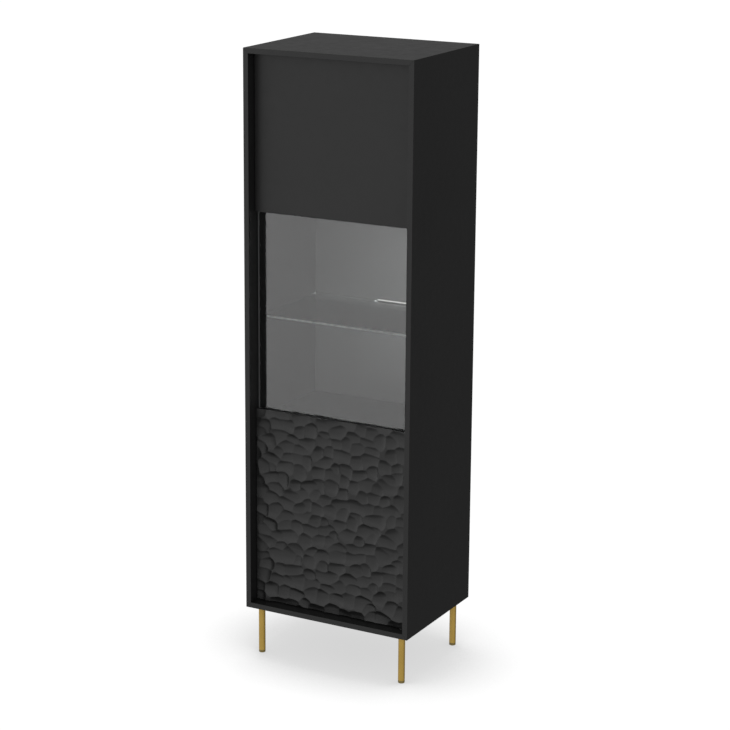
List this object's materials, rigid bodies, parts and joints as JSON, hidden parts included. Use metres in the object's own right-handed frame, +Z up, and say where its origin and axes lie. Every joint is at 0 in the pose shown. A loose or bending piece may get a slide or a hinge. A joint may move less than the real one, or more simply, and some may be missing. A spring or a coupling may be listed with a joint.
{
  "type": "display cabinet",
  "caption": "Tall free-standing display cabinet on round legs, with an inset door of plain, glazed and carved panels, inner shelves, a shelf light and a push latch.",
  "frame": {"origin": "on the floor, midway between the four feet, under the middle of the cabinet's box", "axes": "+Z up, +X to the right seen from the front, +Y from the door towards the wall"},
  "size_m": [0.545, 0.408, 1.837],
  "materials": {
    "black_board": "matt black board with a fine soft grain",
    "carved_board": "matt black lacquer on board carved with wide shallow gouge strokes",
    "back_board": "matt black foil on thin fibreboard",
    "black_frame": "black anodised, satin",
    "door_glass": "clear float glass",
    "shelf_glass": "clear float glass with polished edges",
    "grey_seal": "dark grey glazing seal, matt",
    "black_plastic": "matt black moulded plastic",
    "bronze_plastic": "bronze-coloured moulded plastic, matt",
    "white_plastic": "white nylon",
    "light_diffuser": "frosted white light strip",
    "brass": "satin brass-coloured plating, lightly brushed round the leg",
    "steel": "bright zinc plated",
    "black_steel": "black passivated zinc, satin"
  },
  "bodies": {
    "carcass": {"side_panel_left": "black_board", "side_panel_right": "black_board", "top_panel": "black_board", "bottom_panel": "black_board", "fixed_shelf_lower": "black_board", "fixed_shelf_upper": "black_board", "adjustable_shelf": "black_board", "back_panel_lower": "back_board", "back_panel_upper": "back_board", "led_clip_body": "black_frame", "glass_shelf": "shelf_glass", "cable_grommet": "black_plastic", "latch_housing": "black_plastic", "pivot_bush_top": "black_plastic", "pivot_bush_bottom": "black_plastic", "leg_glide_front_left": "bronze_plastic", "leg_glide_front_right": "bronze_plastic", "leg_glide_rear_left": "bronze_plastic", "leg_glide_rear_right": "bronze_plastic", "led_clip_lens": "light_diffuser", "leg_tube_front_left": "brass", "leg_tube_front_right": "brass", "leg_tube_rear_left": "brass", "leg_tube_rear_right": "brass", "wall_bracket": "steel", "leg_plate_front_left": "steel", "leg_plate_front_right": "steel", "leg_plate_rear_left": "steel", "leg_plate_rear_right": "steel", "glass_shelf_support_front_left": "black_steel", "glass_shelf_support_front_right": "black_steel", "glass_shelf_support_rear_left": "black_steel", "glass_shelf_support_rear_right": "black_steel", "board_shelf_support_front_left": "black_steel", "board_shelf_support_front_right": "black_steel", "board_shelf_support_rear_left": "black_steel", "board_shelf_support_rear_right": "black_steel"},
    "door": {"door_upper_panel": "black_board", "door_lower_panel": "carved_board", "door_stile_left": "black_frame", "door_stile_right": "black_frame", "door_rail_bottom": "black_frame", "door_rail_lower_mid": "black_frame", "door_rail_upper_mid": "black_frame", "door_rail_top": "black_frame", "door_glass": "door_glass", "glass_trim_left": "grey_seal", "glass_trim_right": "grey_seal", "pivot_plate_top": "black_steel", "pivot_plate_bottom": "black_steel", "strike_plate": "steel"},
    "plunger": {"latch_magnet": "steel", "latch_plunger": "white_plastic"}
  },
  "joints": [
    {"name": "door_hinge", "type": "hinge", "parent": "carcass", "child": "door", "pos_m": [0.2345, -0.164, 0.9935], "axis": [0, 0, 1], "range_deg": [0, 100]},
    {"name": "latch_push", "type": "slide", "parent": "carcass", "child": "plunger", "axis": [0, 1, 0], "range_m": [0, 0.004], "stiffness_N_per_m": 250}
  ]
}
